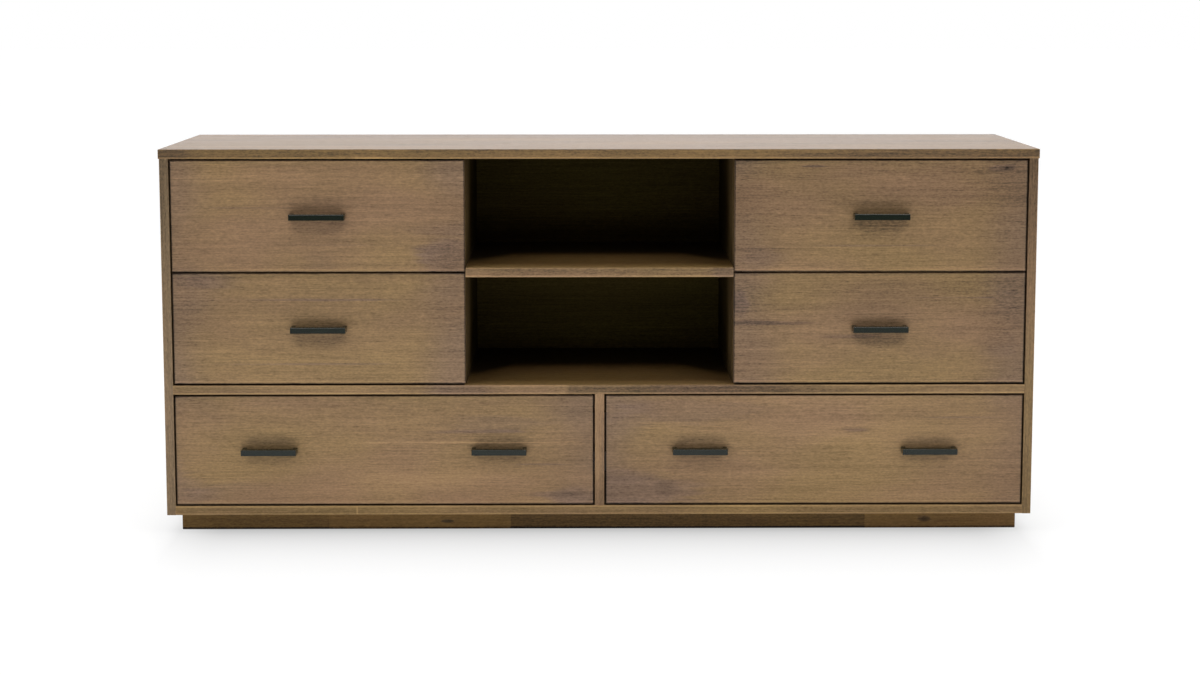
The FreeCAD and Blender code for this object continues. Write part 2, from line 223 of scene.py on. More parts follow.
def wood_figure():
    """Node group: colour, roughness and height of wood whose fibres run along the first axis of Grain."""
    tree = bpy.data.node_groups.new("wood_figure", "ShaderNodeTree")
    for way, sockets in (("INPUT", FIGURE_INPUTS), ("OUTPUT", FIGURE_OUTPUTS)):
        for name, kind in sockets.items():
            tree.interface.new_socket(name, in_out=way, socket_type=f"NodeSocket{kind}")
    g = Graph(tree)
    given = g.node("NodeGroupInput").outputs
    wander = g.vector("SUBTRACT", g.layer(given["Grain"], WANDER, "Color"), (0.5, 0.5, 0.5))
    place = g.vector("ADD", given["Grain"], g.vector("MULTIPLY", wander, WANDER_REACH))
    drawn = {name: g.layer(place, layer) for name, layer in LAYERS.items()}
    pores = g.ramp(drawn["pores"], *PORE_RANGE)
    streaks = g.ramp(drawn["streaks"], *STREAK_RANGE)

    side = g.total(
        SIDE_LIGHT,
        *(g.swing(drawn[name], reach) for name, reach in SIDE_SWINGS.items()),
        g.times(pores, PORE_SHADE),
        g.times(streaks, STREAK_SHADE),
        given["Shade"],
    )
    end = g.total(
        END_LIGHT,
        *(g.swing(drawn[name], reach) for name, reach in END_SWINGS.items()),
        given["Shade"],
    )
    light = g.math("ADD", g.times(side, g.rest(given["End"])), g.times(end, given["End"]))
    light = g.math("MAXIMUM", light, LEAST_LIGHT)
    tint = g.mix(g.ramp(drawn["clouds"], *BLUSH_RANGE), given["Ground"], given["Blush"])
    rough = g.total(
        ROUGH_MEAN,
        g.swing(drawn["fibres"], ROUGH_SWING),
        g.times(pores, ROUGH_MORE),
        g.times(given["End"], ROUGH_MORE),
    )
    height = g.total(drawn["fibres"], g.times(pores, PORE_DEPTH))
    g.node("NodeGroupOutput", {"Color": g.scaled(tint, light), "Roughness": rough, "Height": height})
    return tree


WOOD_FIGURE = wood_figure()

# A finish has its colour, a second one that it drifts to in clouds, the colour of its dark marks if it has
# any, how much lighter its arrises are, how far its grain stands up, and its gloss
Finish = namedtuple("Finish", "name ground blush dark edge relief gloss")
GRAIN_HEIGHT = 0.0006


def new_finish(name, ground, blush, dark=None, edge=0.0, relief=0.10, gloss=0.25):
    """A finish from colours seen on a screen."""
    return Finish(name, colour(*ground), colour(*blush), dark and colour(*dark), edge, relief, gloss)


STAINED = new_finish("stained_wood", (137, 111, 74), (132, 104, 77), (131, 107, 90), edge=0.18)
GREYED = STAINED._replace(ground=colour(133, 111, 82), blush=colour(129, 106, 83))
FRONTED = STAINED._replace(edge=-0.55)  # the arrises of fronts are darker, not lighter: painted shade that widens the dark gaps round them
NARROW = new_finish("edge_wood", (138, 112, 71), (134, 107, 73), (128, 106, 84), edge=0.18)
CAPPED = new_finish(
    "edge_wood", (140, 110, 63), (136, 106, 66), (127, 98, 64), edge=0.18, relief=0.11, gloss=0.50,
)
PLINTH = new_finish("plinth_wood", (123, 94, 50), (119, 89, 50), (100, 83, 54), edge=0.06, gloss=0.20)
# The back panel's face in the niche is painted dark as shade, and the panel has no gloss
SHADED_BACK = new_finish("shaded_niche_wood", (70, 61, 29), (67, 56, 29), gloss=0.0)
# Painted shade: darker wood for the partitions, and for the bottom panel's faces seen in the gaps
SHADED_WOOD = new_finish("shaded_partition_wood", (84, 69, 44), (80, 65, 44), gloss=0.0)
BOX = new_finish("box_wood", (206, 180, 140), (203, 172, 138), relief=0.08, gloss=0.35)
VENEER = new_finish("plywood_veneer", (200, 172, 130), (196, 164, 126), relief=0.08, gloss=0.35)
RAW = new_finish("raw_wood", (214, 190, 150), (208, 178, 142), gloss=0.20)

# A tone is the colours alone, for faces of a board that differ from its front
Tone = namedtuple("Tone", "ground blush")
POLISHED = Tone(colour(128, 101, 71), colour(118, 95, 74))
# Darker and yellower for the faces of the shelf and the deck in the niche, as painted shade
SHADED_SHELVES = Tone(colour(126, 100, 58), colour(120, 94, 58))

# A shade is added to the light of the wood: below 0 it darkens, and above 0 it lightens. A mark is a patch
# of other wood about a place, with its length and height
Mark = namedtuple("Mark", "x z length height shade")
MARK_CELLS = (14, 30, 120)
MARK_WAVER = 0.9
MARK_CORE = 0.3  # the part of a mark that has its full shade
MARK_DARKENED = -0.25  # the shade at which wood has the finish's dark colour

# A stave is a length of board from its joint to the next. The shade changes within its blur of the joint
Stave = namedtuple("Stave", "joint shade blur", defaults=(0.0005,))

# A halo is painted shadow round a pull: the soft shadow that its bar casts on the wood, painted in
Halo = namedtuple("Halo", "x z shade")
PULL_SHADOW_HALF = 0.030  # half the length of the bar that it is measured from
PULL_SHADOW_START = 0.014  # it has its full shade this near to the bar
PULL_SHADOW_REACH = 0.038  # and none beyond this

# A line is painted highlight along the arrises of a board, and painted shadow where the plinth meets the
# floor. It runs the whole length of a board at one height, stronger in some stretches
Line = namedtuple("Line", "z height shade")
LINE_CELLS = (4, 0, 0)
LINE_LEAST = 0.55
LINE_VARIES = 0.9

# A climb changes the shade from one height to another
Climb = namedtuple("Climb", "start end below above")

# Dusk is painted shade in the niche: wood darkens from one depth to another. It begins sooner at the sides
Dusk = namedtuple("Dusk", "start end colour")
DUSK_SIDES = (0.17, 0.28)
DUSK_SOONER = 0.11
DUSK_BEYOND = (NICHE_HALF + 0.003, NICHE_HALF + 0.005)

EDGE_FULL = 0.0004  # arrises have another shade in full this near to them
EDGE_REACH = 0.0028  # and none beyond this
END_REACH = 0.14  # how far from its ends a front is dulled
END_CELLS = (2, 9, 9)
END_WAVER = 0.12
BAND_CELLS = (1.2, 24, 24)
PAINTED_GAP_SHADE = -0.50  # painted shade of faces that look at the drawers, seen in the gaps beside the fronts

# What a board may have beside its finish. front is the shade of faces that look forwards or back, rim of
# those that look up or down, as painted shade that darkens the gaps, and ends of the two ends of a front.
# bands is the swing of broad bands on a face that looks up. lining is the way along X of a face that looks
# at the drawers, which takes painted shade of the gaps. inside has the colours of the faces that do not
# look forwards, where they differ, and dusk is painted shade that darkens wood in the niche
Details = namedtuple(
    "Details",
    "front rim ends bands lining climb lines marks staves halos inside dusk",
    defaults=(0.0, 0.0, 0.0, 0.0, 0, None, (), (), (), (), None, None),
)

# Each node has a figure of its own, from a place of its own in the noise
SEED_STEPS = (0.618, 0.414, 0.732)
SEED_SPREAD = 20
GRAIN_FIRST = {"X": "XYZ", "Y": "YXZ", "Z": "ZXY"}


def seed(node):
    """Where a node's figure lies in the noise."""
    count = sorted(NODES).index(node) + 1
    return tuple(SEED_SPREAD * (count * step % 1) for step in SEED_STEPS)


class Surface:
    """Where a point of a board lies and which way it looks, as outputs of nodes in one graph."""

    def __init__(self, g, node, grain):
        coordinates = g.node("TexCoord").outputs
        self.g = g
        self.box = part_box(node)
        self.place = coordinates["Object"]
        self.along = dict(zip(AXES, g.parts(self.place)))
        self.normal = dict(zip(AXES, g.parts(coordinates["Normal"])))
        self.end = self.looking(grain)
        self.forwards = self.looking("Y")
        turned = g.joined(*(self.along[axis] for axis in GRAIN_FIRST[grain]))
        self.grown = g.vector("ADD", turned, seed(node))

    def looking(self, axis, way=0):
        """1 on faces that look along an axis: one way where way is 1 or -1, and else both ways."""
        share = self.normal[axis]
        share = self.g.times(share, way) if way else self.g.math("ABSOLUTE", share)
        return self.g.ramp(share, *FACE_RANGE)

    def depth(self, axis):
        """Distance to the nearer end of the board along an axis."""
        low, high = (corner[AXES.index(axis)] for corner in self.box)
        below = self.g.math("SUBTRACT", self.along[axis], low)
        above = self.g.math("SUBTRACT", high, self.along[axis])
        return self.g.math("MINIMUM", below, above)


def near_arris(surface):
    """1 on a board's arrises, where the second smallest of its depths is small, and 0 away from them."""
    g = surface.g
    first, second, third = (surface.depth(axis) for axis in AXES)
    lesser = g.math("MINIMUM", first, second)
    greater = g.math("MAXIMUM", first, second)
    middle = g.math("MAXIMUM", lesser, g.math("MINIMUM", greater, third))
    return g.ramp(middle, EDGE_FULL, EDGE_REACH, 1.0, 0.0)


def ends_shade(surface, shade):
    """The dulled wood towards both ends of a front."""
    g = surface.g
    waver = g.swing(g.noise(surface.place, END_CELLS, detail=1.0), END_WAVER)
    return g.ramp(g.math("ADD", surface.depth("X"), waver), 0.0, END_REACH, shade, 0.0)


def marks_shade(surface, marks, ends):
    """The shade of the marks, whose outlines waver along the grain, with that of dulled ends."""
    g = surface.g
    waver = g.swing(g.noise(surface.place, MARK_CELLS), MARK_WAVER)
    shade = ends_shade(surface, ends) if ends else 0.0
    for mark in marks:
        offset = g.vector("SUBTRACT", surface.place, (mark.x, 0, mark.z))
        reach = g.vector("MULTIPLY", offset, (2 / mark.length, 0, 2 / mark.height))
        away = g.math("ADD", g.vector("LENGTH", reach), waver)
        shade = g.math("ADD", g.ramp(away, MARK_CORE, 1.0, mark.shade, 0.0), shade)
    return shade


def staves_shade(surface, staves):
    """Staves glued end to end along X, each a little lighter or darker than the one before its joint."""
    g = surface.g
    shade = staves[0].shade
    for before, stave in zip(staves, staves[1:]):
        start, end = stave.joint - stave.blur, stave.joint + stave.blur
        step = g.ramp(surface.along["X"], start, end, 0.0, stave.shade - before.shade)
        shade = g.math("ADD", step, shade)
    return shade


def painted_lines_shade(surface, lines):
    """Painted lines along a board: highlights on its arrises, and shadow where the plinth meets the floor.
    """
    g = surface.g
    strength = g.math("MULTIPLY_ADD", g.noise(surface.place, LINE_CELLS), LINE_VARIES, LINE_LEAST)
    shade = 0.0
    for line in lines:
        away = g.math("ABSOLUTE", g.math("SUBTRACT", surface.along["Z"], line.z))
        shade = g.math("ADD", g.ramp(away, line.height / 4, line.height / 2, line.shade, 0.0), shade)
    return g.times(shade, strength)


def pull_shadows_shade(surface, halos):
    """Painted shadow round each pull, by the distance from its bar."""
    g = surface.g
    shade = 0.0
    for pull_shadow in halos:
        offset = g.vector("ABSOLUTE", g.vector("SUBTRACT", surface.place, (pull_shadow.x, 0, pull_shadow.z)))
        beyond = g.vector("MAXIMUM", g.vector("SUBTRACT", offset, (PULL_SHADOW_HALF, 0, 0)), (0, 0, 0))
        away = g.vector("LENGTH", g.vector("MULTIPLY", beyond, (1, 0, 1)))
        shade = g.math("ADD", g.ramp(away, PULL_SHADOW_START, PULL_SHADOW_REACH, pull_shadow.shade, 0.0), shade)
    return shade


def dusk_share(surface, dusk):
    """Share of painted dusk shade: 0 at the front of the niche, and 1 at its rear and beyond its sides."""
    g = surface.g
    across = g.math("ABSOLUTE", surface.along["X"])
    sooner = g.ramp(across, *DUSK_SIDES, 0.0, DUSK_SOONER)
    share = g.ramp(g.math("ADD", surface.along["Y"], sooner), dusk.start, dusk.end)
    return g.math("MAXIMUM", share, g.ramp(across, *DUSK_BEYOND))


def wood_shades(surface, finish, has, marked, facing):
    """The shades of a board, each with the share of it that each face shows."""
    g = surface.g
    forwards = surface.forwards
    shades = [(has.front, forwards)]
    if has.bands:
        broad = g.swing(g.noise(surface.grown, BAND_CELLS), has.bands)
        shades.append((broad, surface.looking("Z", 1)))
    if has.rim:
        shades.append((has.rim, surface.looking("Z")))
    if has.lining:
        shades.append((PAINTED_GAP_SHADE, surface.looking("X", has.lining)))
    if has.climb:
        shades.append((g.ramp(surface.along["Z"], *has.climb), forwards))
    if has.lines:
        shades.append((painted_lines_shade(surface, has.lines), forwards))
    if has.halos:
        shades.append((pull_shadows_shade(surface, has.halos), forwards))
    if has.marks:
        shades.append((marked, facing))
    if has.staves:
        shades.append((staves_shade(surface, has.staves), facing))
    if finish.edge:
        shades.append((finish.edge, g.times(near_arris(surface), forwards)))
    return shades


def wood_colours(surface, finish, has, marked, facing):
    """The ground and the blush of a board, with its dark marks, its other faces and its painted dusk
    shade.
    """
    g = surface.g
    ground = finish.ground
    blush = finish.blush
    if has.marks:
        ground = g.mix(g.ramp(marked, MARK_DARKENED, 0.0, 1.0, 0.0), ground, finish.dark)
    if has.inside:
        ground = g.mix(facing, has.inside.ground, ground)
        blush = g.mix(facing, has.inside.blush, blush)
    if has.dusk:
        share = dusk_share(surface, has.dusk)
        if has.inside:
            share = g.times(share, g.rest(facing))
        ground = g.mix(share, ground, has.dusk.colour)
        blush = g.mix(share, blush, has.dusk.colour)
    return ground, blush


def wood(node, finish, grain, **details):
    """Wood for one node: figure along the grain, end grain across it, and the details that it has."""
    has = Details(**details)
    material, g, shader = new_material(f"{finish.name}_{node}")
    surface = Surface(g, node, grain)
    facing = surface.looking("Y", -1) if has.inside else 1.0
    marked = marks_shade(surface, has.marks, has.ends) if has.marks else 0.0
    shade = 0.0
    for part, share in wood_shades(surface, finish, has, marked, facing):
        shade = g.math("MULTIPLY_ADD", part, share, shade)
    ground, blush = wood_colours(surface, finish, has, marked, facing)
    inputs = {"Grain": surface.grown, "Ground": ground, "Blush": blush, "End": surface.end, "Shade": shade}
    figure = g.node("Group", inputs, node_tree=WOOD_FIGURE).outputs
    g.feed(shader, {
        "Base Color": figure["Color"],
        "Roughness": figure["Roughness"],
        "Normal": g.bump(finish.relief, GRAIN_HEIGHT, figure["Height"]),
        "Specular IOR Level": finish.gloss,
    })
    dress(node, material)


# Case

# Painted shade that darkens the niche's floors and walls towards its rear
SHELF_DUSK = Dusk(-0.03, 0.06, colour(44, 32, 12))
WALL_DUSK = Dusk(-0.04, 0.14, colour(52, 43, 22))

# Painted highlights along the arrises of a front edge: how far inside the arris their middles lie, and
# their height
LOWER_HIGHLIGHT = (0.0016, 0.0066)
UPPER_HIGHLIGHT = (0.0028, 0.0044)


def arris_highlights(board, below, above=0.0):
    """Painted highlights along the lower and upper front arrises of a board."""
    low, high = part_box(board)
    lower = Line(low.z + LOWER_HIGHLIGHT[0], LOWER_HIGHLIGHT[1], below)
    upper = Line(high.z - UPPER_HIGHLIGHT[0], UPPER_HIGHLIGHT[1], above)
    return (lower, upper)


wood("top_panel", CAPPED, "X", front=-0.34, bands=0.85, lines=arris_highlights("top_panel", 0.32), marks=(
    # painted shade along the upper front arris
    Mark(0.0, 0.8115, 2.20, 0.004, -0.22),
    Mark(0.75, 0.797, 1.10, 0.040, -0.20),
    Mark(-0.90, 0.802, 0.16, 0.060, -0.18),
    # a brighter stretch of the painted highlight on the lower front arris
    Mark(-0.47, 0.794, 0.12, 0.008, 0.50),
), inside=POLISHED)
wood("middle_deck", STAINED, "X", front=-0.16, lines=arris_highlights("middle_deck", 0.46, 0.26), marks=(
    Mark(-0.62, 0.309, 0.40, 0.004, 0.18),
    Mark(-0.57, 0.306, 0.36, 0.060, 0.16),
    Mark(-0.29, 0.306, 0.24, 0.060, -0.18),
    Mark(0.30, 0.312, 0.50, 0.005, -0.10),
    Mark(0.72, 0.306, 0.80, 0.060, 0.40),
), staves=(Stave(-1.0, 0.02), Stave(-0.067, -0.33, 0.007)), inside=SHADED_SHELVES, dusk=SHELF_DUSK)
wood("bottom_panel", NARROW, "X", front=-0.09, lines=arris_highlights("bottom_panel", 0.36, 0.50), marks=(
    Mark(-0.512, 0.048, 0.005, 0.030, 0.55),
    Mark(0.20, 0.053, 0.60, 0.004, -0.12),
    Mark(0.27, 0.048, 0.34, 0.060, 0.20),
    Mark(-0.30, 0.048, 0.30, 0.060, 0.08),
), inside=SHADED_WOOD)
wood("niche_shelf", STAINED, "X", front=-0.28, lines=arris_highlights("niche_shelf", 0.46), marks=(
    Mark(-0.25, 0.555, 0.09, 0.030, 0.16),
    Mark(0.27, 0.554, 0.12, 0.060, -0.14),
), inside=SHADED_SHELVES, dusk=SHELF_DUSK)
# Side panels: their inner faces take painted shade of the gaps beside the fronts
for board, finish, lining, climb in (
    # each side panel's front edge darkens towards the top: painted shade
    ("left_side_panel", GREYED, 1, Climb(0.20, 0.85, 0.0, -0.40)),
    ("right_side_panel", STAINED, -1, Climb(0.45, 0.85, 0.0, -0.44)),
):
    wood(board, finish, "Z", front=-0.12, lining=lining, climb=climb, inside=STAINED)
wood("lower_divider", STAINED, "Z", front=0.10, climb=Climb(0.06, 0.15, -0.26, 0.03), marks=(
    Mark(0.007, 0.200, 0.007, 0.300, -0.16),
    Mark(-0.003, 0.130, 0.008, 0.220, 0.14),
))
for board in ("left_partition", "right_partition"):
    wood(board, SHADED_WOOD, "Z", dusk=WALL_DUSK)
wood("back_panel", SHADED_BACK, "X", inside=VENEER)
# The plinth's dark line along its foot is a painted contact shadow where it meets the floor
wood("plinth_front", PLINTH, "X", lines=(Line(0.0, 0.0120, -0.80),), marks=(
    Mark(-0.323, 0.017, 0.032, 0.009, -0.55),
    Mark(0.692, 0.021, 0.042, 0.016, -0.70),
), staves=(Stave(-1.0, -0.05), Stave(-0.575, 0.15), Stave(-0.189, -0.28), Stave(0.565, 0.08)))
for board, grain in (
    ("plinth_rear", "X"),
    ("plinth_left", "Y"),
    ("plinth_right", "Y"),
    ("plinth_cross_rail", "Y"),
):
    wood(board, PLINTH, grain)
wood("plinth_corner_blocks", RAW, "Z")
wood("case_splines", RAW, "X")

# Drawers

FRONT_MARKS = {
    "upper_left_drawer": (
        Mark(-0.325, 0.585, 0.150, 0.090, -0.20),
        Mark(-0.580, 0.585, 0.110, 0.070, -0.08),
        Mark(-0.345, 0.645, 0.180, 0.040, -0.09),
        Mark(-0.680, 0.690, 0.320, 0.006, -0.14),
        Mark(-0.560, 0.612, 0.360, 0.005, -0.12),
        Mark(-0.740, 0.630, 0.280, 0.070, 0.08),
    ),
    "upper_right_drawer": (
        Mark(0.832, 0.772, 0.064, 0.020, -0.22),
        Mark(0.853, 0.774, 0.036, 0.016, -0.20),
        Mark(0.847, 0.772, 0.016, 0.008, -0.14),
        Mark(0.444, 0.776, 0.070, 0.007, -0.30),
        Mark(0.340, 0.585, 0.150, 0.060, -0.09),
        Mark(0.600, 0.610, 0.420, 0.006, -0.12),
    ),
    "middle_left_drawer": (
        Mark(-0.597, 0.497, 0.480, 0.008, -0.21),
        Mark(-0.600, 0.368, 0.500, 0.005, 0.15),
        Mark(-0.600, 0.361, 0.500, 0.006, -0.15),
        Mark(-0.800, 0.535, 0.220, 0.050, -0.09),
    ),
    "middle_right_drawer": (
        Mark(0.345, 0.447, 0.250, 0.012, -0.30),
        Mark(0.515, 0.418, 0.190, 0.012, -0.22),
        Mark(0.292, 0.490, 0.050, 0.070, -0.10),
        Mark(0.840, 0.440, 0.130, 0.200, -0.07),
        Mark(0.720, 0.500, 0.300, 0.005, -0.12),
    ),
    "lower_left_drawer": (
        Mark(-0.294, 0.193, 0.580, 0.006, 0.48),
        Mark(-0.800, 0.233, 0.180, 0.004, 0.14),
        Mark(-0.800, 0.193, 0.200, 0.004, 0.15),
        Mark(-0.330, 0.118, 0.420, 0.050, 0.11),
        Mark(-0.250, 0.216, 0.320, 0.012, -0.14),
        Mark(-0.140, 0.146, 0.180, 0.006, -0.18),
        Mark(-0.080, 0.082, 0.220, 0.016, -0.22),
        Mark(-0.050, 0.078, 0.160, 0.050, -0.16),
        Mark(-0.760, 0.085, 0.300, 0.070, -0.10),
        Mark(-0.460, 0.105, 0.360, 0.080, 0.09),
        Mark(-0.860, 0.210, 0.120, 0.220, 0.11),
        Mark(-0.220, 0.234, 0.300, 0.055, -0.10),
    ),
    "lower_right_drawer": (
        Mark(0.535, 0.219, 0.100, 0.014, -0.30),
        Mark(0.136, 0.096, 0.074, 0.046, -0.20),
        Mark(0.760, 0.245, 0.260, 0.005, -0.17),
        Mark(0.400, 0.120, 0.400, 0.040, 0.08),
        Mark(0.100, 0.090, 0.380, 0.100, -0.19),
        Mark(0.200, 0.262, 0.440, 0.090, -0.13),
        Mark(0.580, 0.205, 0.360, 0.140, 0.13),
        Mark(0.630, 0.080, 0.420, 0.050, 0.12),
    ),
}

# Shade of each front at its lower and upper edge
FRONT_SHADES = {
    "upper_left_drawer": (-0.03, -0.03),
    "upper_right_drawer": (-0.12, -0.25),
    "middle_left_drawer": (0.03, -0.11),
    "middle_right_drawer": (-0.03, -0.13),
    "lower_left_drawer": (0.21, -0.03),
    "lower_right_drawer": (0.15, -0.02),
}
FRONT_ENDS = -0.15  # shade of its two ends
FRONT_GAP_SHADE = -0.28  # painted shade of the narrow faces along its top and bottom, which darkens the gaps
FRONT_HIGHLIGHT_RISE = 0.0040  # a painted highlight lies this far above its lower arris
FRONT_HIGHLIGHT_HEIGHT = 0.0044
FRONT_HIGHLIGHT_SHADE = 0.22

# How far below the middle of a pull its painted shadow lies, and the shadow's shade, by row
PULL_SHADOWS = {"upper": (0.012, -0.30), "middle": (0.012, -0.30), "lower": (-0.002, -0.33)}


def pull_centres(drawer):
    """The middle of each pull on a drawer, across and up."""
    single = f"{drawer}_pull"
    low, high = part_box(single if single in NODES else f"{drawer}_pulls")
    places = {round(low.x + PULL_LENGTH / 2, 5), round(high.x - PULL_LENGTH / 2, 5)}
    return [(x, (low.z + high.z) / 2) for x in sorted(places)]


def painted_pull_shadows(drawer):
    """The painted shadow round each pull on a drawer."""
    drop, shade = PULL_SHADOWS[drawer.split("_")[0]]
    return [Halo(x, z - drop, shade) for x, z in pull_centres(drawer)]


def drawer_front(drawer):
    """The wood of a drawer's front."""
    face = f"{drawer}_front"
    low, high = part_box(face)
    wood(
        face,
        FRONTED,
        "X",
        rim=FRONT_GAP_SHADE,
        ends=FRONT_ENDS,
        climb=Climb(low.z, high.z, *FRONT_SHADES[drawer]),
        lines=(Line(low.z + FRONT_HIGHLIGHT_RISE, FRONT_HIGHLIGHT_HEIGHT, FRONT_HIGHLIGHT_SHADE),),
        marks=FRONT_MARKS[drawer],
        # painted shadow round the pulls
        halos=painted_pull_shadows(drawer),
    )


for drawer in DRAWERS:
    drawer_front(drawer)
    wood(f"{drawer}_box_sides", BOX, "Y")
    wood(f"{drawer}_box_ends", BOX, "X")
    wood(f"{drawer}_bottom", VENEER, "X")

# Metal: cells of its noise to the metre, the noise over which its roughness changes, and its relief
PEEL_CELLS = (900, 900, 900)
COAT_CELLS = (60, 60, 60)
ROLLED_CELLS = (900, 12, 900)
ZINC_CELLS = (25, 25, 25)
METAL_RANGE = (0.3, 0.7)
METAL_HEIGHT = 0.0002
COAT_ROUGH = (0.18, 0.28)
COAT_RELIEF = 0.25
COAT_GLOSS = 0.38
ZINC_ROUGH = (0.28, 0.46)
ZINC_RELIEF = 0.08


def pull_metal():
    """Black powder coat on steel: nearly black, with the coat's fine orange peel."""
    material, g, shader = new_material("black_powder_coat")
    place = g.node("TexCoord").outputs["Object"]
    peel = g.noise(place, PEEL_CELLS)
    cloud = g.noise(place, COAT_CELLS)
    g.feed(shader, {
        "Base Color": g.mix(cloud, colour(13, 21, 13), colour(18, 25, 17)),
        "Roughness": g.ramp(peel, *METAL_RANGE, *COAT_ROUGH),
        "Normal": g.bump(COAT_RELIEF, METAL_HEIGHT, peel),
        "Specular IOR Level": COAT_GLOSS,
    })
    return material


def slide_steel():
    """Zinc-plated steel strip, rolled lengthways, with its nose painted black as shade."""
    material, g, shader = new_material("zinc_plated_steel")
    place = g.node("TexCoord").outputs["Object"]
    rolled = g.noise(place, ROLLED_CELLS, detail=3.0)
    cloud = g.noise(place, ZINC_CELLS)
    zinc = g.mix(cloud, colour(168, 172, 178), colour(196, 198, 200))
    shaded_nose = g.ramp(g.parts(place)[1], NOSE_END, NOSE_END + NOSE_FADE, 1.0, 0.0)
    g.feed(shader, {
        "Base Color": g.mix(shaded_nose, zinc, colour(14, 14, 15)),
        "Roughness": g.ramp(rolled, *METAL_RANGE, *ZINC_ROUGH),
        "Metallic": g.rest(shaded_nose),
        "Normal": g.bump(ZINC_RELIEF, METAL_HEIGHT, rolled),
    })
    return material


PULL_METAL = pull_metal()
SLIDE_STEEL = slide_steel()
for node in NODES:
    if node.endswith(("_pull", "_pulls")):
        dress(node, PULL_METAL)
    if node.endswith(("_slide_inner", "_slide_middle")) or node == "slide_cabinet_members":
        dress(node, SLIDE_STEEL)

# Fasteners: pan-head screws, with the heads of one group in one mesh
SCREW_SIDES = 16
SCREW_PROFILE = (  # radius and height of each ring
    (0.0036, -0.0002),
    (0.0036, 0.0005),
    (0.0033, 0.0011),
    (0.0027, 0.0015),
    (0.0021, 0.0017),
)
CROSS_REACH = 0.0017
CROSS_HALF = 0.0004
CROSS_DEPTH = 0.0012
SCREW_SPIN = 2.4  # radians from one head to the next
OUT_OF_REAR = Matrix.Rotation(-math.pi / 2, 4, "X")  # turns a head so that it faces +Y
BACK_INSET = 0.008  # the back panel's screws, from its edges
BACK_ACROSS = 9  # screws in a row
BACK_UP = 4  # screws in a column above the deck, with those of the rows at its ends
BOX_INSET = 0.055  # a sub-front's own screws, from the ends of the box
BOX_RISE = 0.045  # from its lower edge
BOX_DROP = 0.030  # from its upper edge


def screw_head():
    """A pan head standing up along Z on the origin, with a cross recess in its crown."""
    head = bmesh.new()
    turns = [2 * math.pi * i / SCREW_SIDES for i in range(SCREW_SIDES)]
    rings = []
    for radius, height in SCREW_PROFILE:
        circle = [(radius * math.cos(turn), radius * math.sin(turn), height) for turn in turns]
        rings.append([head.verts.new(point) for point in circle])
    for lower, upper in zip(rings, rings[1:]):
        for i in range(SCREW_SIDES):
            j = (i + 1) % SCREW_SIDES
            head.faces.new((lower[i], lower[j], upper[j], upper[i]))
    crown = SCREW_PROFILE[-1][1]
    arm = ((CROSS_REACH, -CROSS_HALF), (CROSS_REACH, CROSS_HALF), (CROSS_HALF, CROSS_HALF))
    outline = []
    for quarter in range(4):
        turn = Matrix.Rotation(quarter * math.pi / 2, 3, "Z")
        outline += [turn @ Vector((x, y, crown)) for x, y in arm]
    rim = [head.verts.new(point) for point in outline]
    floor = [head.verts.new(point - Vector((0, 0, CROSS_DEPTH))) for point in outline]
    for i in range(len(rim)):
        j = (i + 1) % len(rim)
        head.faces.new((rim[j], rim[i], floor[i], floor[j]))
    head.faces.new(floor)
    loops = []
    for ring in (rings[-1], rim):
        loops += [head.edges.get((ring[i], ring[i - 1])) for i in range(len(ring))]
    bmesh.ops.triangle_fill(head, use_beauty=True, edges=loops)
    bmesh.ops.recalc_face_normals(head, faces=head.faces)
    mesh = bpy.data.meshes.new("screw_head")
    head.to_mesh(mesh)
    head.free()
    return mesh


SCREW_HEAD = screw_head()


def screws(name, body, places):
    """One mesh of screw heads that face +Y, each turned to an angle of its own."""
    group = bmesh.new()
    for count, place in enumerate(places):
        before = len(group.verts)
        group.from_mesh(SCREW_HEAD)
        group.verts.ensure_lookup_table()
        spin = Matrix.Rotation(count * SCREW_SPIN, 4, "Z")
        new = group.verts[before:]
        bmesh.ops.transform(group, matrix=Matrix.Translation(place) @ OUT_OF_REAR @ spin, verts=new)
    mesh = bpy.data.meshes.new(name)
    group.to_mesh(mesh)
    group.free()
    mesh.materials.append(SLIDE_STEEL)
    piece = bpy.data.objects.new(name, mesh)
    bpy.context.scene.collection.objects.link(piece)
    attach(piece, body)


def spread(start, end, count):
    """So many places from start to end, evenly spaced."""
    return [start + (end - start) * i / (count - 1) for i in range(count)]


def back_screws():
    """Screws round the back panel, and along the deck and the partitions in front of it."""
    low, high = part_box("back_panel")
    rear = high.y
    left, right = low.x + BACK_INSET, high.x - BACK_INSET
    bottom, top = low.z + BACK_INSET, high.z - BACK_INSET
    deck = sum(corner.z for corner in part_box("middle_deck")) / 2
    uprights = spread(deck, top, BACK_UP)[1:-1]
    places = []
    for z in (bottom, deck, top):
        places += [(x, rear, z) for x in spread(left, right, BACK_ACROSS)]
    for x in (left, right):
        places += [(x, rear, z) for z in uprights]
        places.append((x, rear, (bottom + deck) / 2))
    for board in ("left_partition", "right_partition"):
        x = sum(corner.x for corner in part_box(board)) / 2
        places += [(x, rear, z) for z in uprights]
    screws("back_panel_screws", "case", places)


def drawer_screws(drawer):
    """Screws inside the sub-front: two in each pull and one near each corner into the drawer front."""
    box_low, box_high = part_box(f"{drawer}_box_ends")
    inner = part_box(f"{drawer}_front")[1].y + BOX_BOARD
    places = []
    for x, z in pull_centres(drawer):
        for side in (-1, 1):
            places.append((x + side * (PULL_LENGTH - PULL_LEG) / 2, inner, z))
    for x in (box_low.x + BOX_INSET, box_high.x - BOX_INSET):
        for z in (box_low.z + BOX_RISE, box_high.z - BOX_DROP):
            places.append((x, inner, z))
    screws(f"{drawer}_screws", drawer, places)


back_screws()
for drawer in DRAWERS:
    drawer_screws(drawer)


# Studio: floor, world, lights and camera

